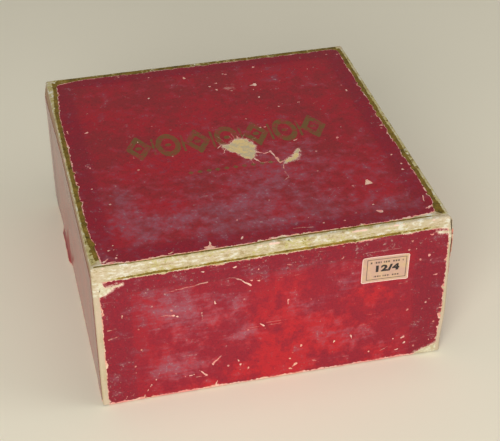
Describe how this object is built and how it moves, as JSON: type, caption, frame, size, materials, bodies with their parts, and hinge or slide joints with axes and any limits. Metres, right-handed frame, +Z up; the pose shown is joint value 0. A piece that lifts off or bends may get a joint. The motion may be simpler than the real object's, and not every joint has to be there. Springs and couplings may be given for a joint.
{
  "type": "game box with lift-off lid",
  "caption": "Paper-covered strawboard box: a full-depth red lid with gilt edging lifts straight up off the tray that it covers.",
  "frame": {"origin": "centre of the box's footprint, on the table that it stands on", "axes": "+Z up, the way the lid lifts; +X to the right and +Y to the back, as seen from the front with the price ticket"},
  "size_m": [0.254, 0.27, 0.122],
  "materials": {
    "red_paper": "glazed, rubbed dull and scuffed to its buff core",
    "gilt_paper": "tarnished gold bronze, worn to cream along the edges",
    "stay_linen": "glued linen, browned",
    "strawboard": "raw, fibrous",
    "lining_paper": "uncoated, yellowed",
    "ticket_paper": "uncoated, printed in black",
    "plain_paper": "uncoated, rubbed"
  },
  "bodies": {
    "tray": {"tray_board": "strawboard", "tray_lining": "lining_paper", "tray_stay_front_left": "stay_linen", "tray_stay_front_right": "stay_linen", "tray_stay_back_left": "stay_linen", "tray_stay_back_right": "stay_linen", "tray_wrap": "red_paper", "tray_bottom_paper": "plain_paper"},
    "lid": {"lid_board": "strawboard", "lid_lining": "lining_paper", "lid_stay_front_left": "stay_linen", "lid_stay_front_right": "stay_linen", "lid_stay_back_left": "stay_linen", "lid_stay_back_right": "stay_linen", "edging_front": "gilt_paper", "edging_back": "gilt_paper", "edging_left": "gilt_paper", "edging_right": "gilt_paper", "top_paper": "red_paper", "front_paper": "red_paper", "back_paper": "red_paper", "left_paper": "red_paper", "right_paper": "red_paper", "price_ticket": "ticket_paper"}
  },
  "joints": [
    {"name": "lid_lift", "type": "slide", "parent": "tray", "child": "lid", "axis": [0, 0, 1], "range_m": [0, 0.15]}
  ]
}
